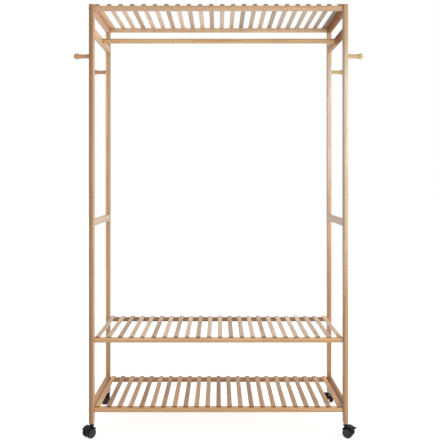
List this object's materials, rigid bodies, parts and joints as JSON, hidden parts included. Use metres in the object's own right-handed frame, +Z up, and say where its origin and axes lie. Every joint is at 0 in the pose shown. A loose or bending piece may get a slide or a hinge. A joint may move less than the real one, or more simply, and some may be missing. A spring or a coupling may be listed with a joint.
{
  "type": "clothes rack",
  "caption": "Bamboo clothes rack: a rectangular frame on swivel casters, with a hanging rod, turned side pegs and slatted shelves at the top, low down and at the foot",
  "frame": {"origin": "floor level, at the middle of the four posts", "axes": "+X along the hanging rod, to the right as seen from the front; +Y from the front to the back; +Z up"},
  "size_m": [1.122, 0.4293, 1.6725],
  "materials": {
    "bamboo_frame": "clear satin lacquer on laminated bamboo",
    "bamboo_rail": "clear satin lacquer on laminated bamboo",
    "bamboo_slat": "clear satin lacquer on sawn bamboo",
    "bamboo_rod": "clear satin lacquer on laminated bamboo",
    "turned_peg": "clear satin lacquer on turned bamboo",
    "zinc_steel": "bright zinc plating",
    "hood_plastic": "black moulded nylon",
    "wheel_plastic": "black moulded nylon",
    "pedal_plastic": "black moulded nylon"
  },
  "bodies": {
    "frame": {"post_front_left": "bamboo_frame", "post_front_right": "bamboo_frame", "post_rear_left": "bamboo_frame", "post_rear_right": "bamboo_frame", "side_rail_top_left": "bamboo_rail", "side_rail_top_right": "bamboo_rail", "side_rail_rod_left": "bamboo_rail", "side_rail_rod_right": "bamboo_rail", "side_rail_middle_left": "bamboo_rail", "side_rail_middle_right": "bamboo_rail", "side_rail_bottom_left": "bamboo_rail", "side_rail_bottom_right": "bamboo_rail", "hanging_rod": "bamboo_rod", "peg_front_left": "turned_peg", "peg_front_right": "turned_peg", "peg_rear_left": "turned_peg", "peg_rear_right": "turned_peg", "shelf_rail_top_front": "bamboo_rail", "shelf_rail_middle_front": "bamboo_rail", "shelf_rail_bottom_front": "bamboo_rail", "slat_deck_top": "bamboo_slat", "slat_deck_middle": "bamboo_slat", "slat_deck_bottom": "bamboo_slat", "bolt_top_front_left": "zinc_steel", "bolt_top_front_right": "zinc_steel", "bolt_top_rear_left": "zinc_steel", "bolt_top_rear_right": "zinc_steel", "bolt_middle_front_left": "zinc_steel", "bolt_middle_front_right": "zinc_steel", "bolt_middle_rear_left": "zinc_steel", "bolt_middle_rear_right": "zinc_steel", "bolt_bottom_front_left": "zinc_steel", "bolt_bottom_front_right": "zinc_steel", "bolt_bottom_rear_left": "zinc_steel", "bolt_bottom_rear_right": "zinc_steel", "rod_screw_left": "zinc_steel", "rod_screw_right": "zinc_steel", "caster_stem_front_left": "zinc_steel", "caster_stem_front_right": "zinc_steel", "caster_stem_rear_left": "zinc_steel", "caster_stem_rear_right": "zinc_steel"},
    "caster_front_left": {"caster_hood_front_left": "hood_plastic", "caster_axle_front_left": "zinc_steel"},
    "caster_front_right": {"caster_hood_front_right": "hood_plastic", "caster_axle_front_right": "zinc_steel"},
    "caster_rear_left": {"caster_hood_rear_left": "hood_plastic", "caster_axle_rear_left": "zinc_steel"},
    "caster_rear_right": {"caster_hood_rear_right": "hood_plastic", "caster_axle_rear_right": "zinc_steel"},
    "wheel_front_left_left": {"wheel_front_left_left": "wheel_plastic"},
    "wheel_front_left_right": {"wheel_front_left_right": "wheel_plastic"},
    "wheel_front_right_left": {"wheel_front_right_left": "wheel_plastic"},
    "wheel_front_right_right": {"wheel_front_right_right": "wheel_plastic"},
    "wheel_rear_left_left": {"wheel_rear_left_left": "wheel_plastic"},
    "wheel_rear_left_right": {"wheel_rear_left_right": "wheel_plastic"},
    "wheel_rear_right_left": {"wheel_rear_right_left": "wheel_plastic"},
    "wheel_rear_right_right": {"wheel_rear_right_right": "wheel_plastic"},
    "brake_front_right": {"brake_pedal_front_right": "pedal_plastic"},
    "brake_rear_left": {"brake_pedal_rear_left": "pedal_plastic"}
  },
  "joints": [
    {"name": "swivel_front_left", "type": "hinge", "parent": "frame", "child": "caster_front_left", "pos_m": [-0.491, -0.1785, 0.0472], "axis": [0, 0, 1], "continuous": true},
    {"name": "swivel_front_right", "type": "hinge", "parent": "frame", "child": "caster_front_right", "pos_m": [0.491, -0.1785, 0.0472], "axis": [0, 0, 1], "continuous": true},
    {"name": "swivel_rear_left", "type": "hinge", "parent": "frame", "child": "caster_rear_left", "pos_m": [-0.491, 0.1785, 0.0472], "axis": [0, 0, 1], "continuous": true},
    {"name": "swivel_rear_right", "type": "hinge", "parent": "frame", "child": "caster_rear_right", "pos_m": [0.491, 0.1785, 0.0472], "axis": [0, 0, 1], "continuous": true},
    {"name": "spin_front_left_left", "type": "hinge", "parent": "caster_front_left", "child": "wheel_front_left_left", "pos_m": [-0.48959, -0.19665, 0.0195], "axis": [-0.766, 0.6428, 0], "continuous": true},
    {"name": "spin_front_left_right", "type": "hinge", "parent": "caster_front_left", "child": "wheel_front_left_right", "pos_m": [-0.50912, -0.18026, 0.0195], "axis": [-0.766, 0.6428, 0], "continuous": true},
    {"name": "spin_front_right_left", "type": "hinge", "parent": "caster_front_right", "child": "wheel_front_right_left", "pos_m": [0.50878, -0.17458, 0.0195], "axis": [-0.5299, -0.848, 0], "continuous": true},
    {"name": "spin_front_right_right", "type": "hinge", "parent": "caster_front_right", "child": "wheel_front_right_right", "pos_m": [0.49527, -0.1962, 0.0195], "axis": [-0.5299, -0.848, 0], "continuous": true},
    {"name": "spin_rear_left_left", "type": "hinge", "parent": "caster_rear_left", "child": "wheel_rear_left_left", "pos_m": [-0.50284, 0.16467, 0.0195], "axis": [-0.0872, 0.9962, 0], "continuous": true},
    {"name": "spin_rear_left_right", "type": "hinge", "parent": "caster_rear_left", "child": "wheel_rear_left_right", "pos_m": [-0.50506, 0.19007, 0.0195], "axis": [-0.0872, 0.9962, 0], "continuous": true},
    {"name": "spin_rear_right_left", "type": "hinge", "parent": "caster_rear_right", "child": "wheel_rear_right_left", "pos_m": [0.47656, 0.1896, 0.0195], "axis": [0.9903, 0.1392, 0], "continuous": true},
    {"name": "spin_rear_right_right", "type": "hinge", "parent": "caster_rear_right", "child": "wheel_rear_right_right", "pos_m": [0.50182, 0.19315, 0.0195], "axis": [0.9903, 0.1392, 0], "continuous": true},
    {"name": "brake_press_front_right", "type": "hinge", "parent": "caster_front_right", "child": "brake_front_right", "pos_m": [0.5184, -0.19562, 0.03458], "axis": [0.5299, 0.848, 0], "range_deg": [0, 20]},
    {"name": "brake_press_rear_left", "type": "hinge", "parent": "caster_rear_left", "child": "brake_rear_left", "pos_m": [-0.52318, 0.17568, 0.03458], "axis": [0.0872, -0.9962, 0], "range_deg": [0, 20]}
  ]
}
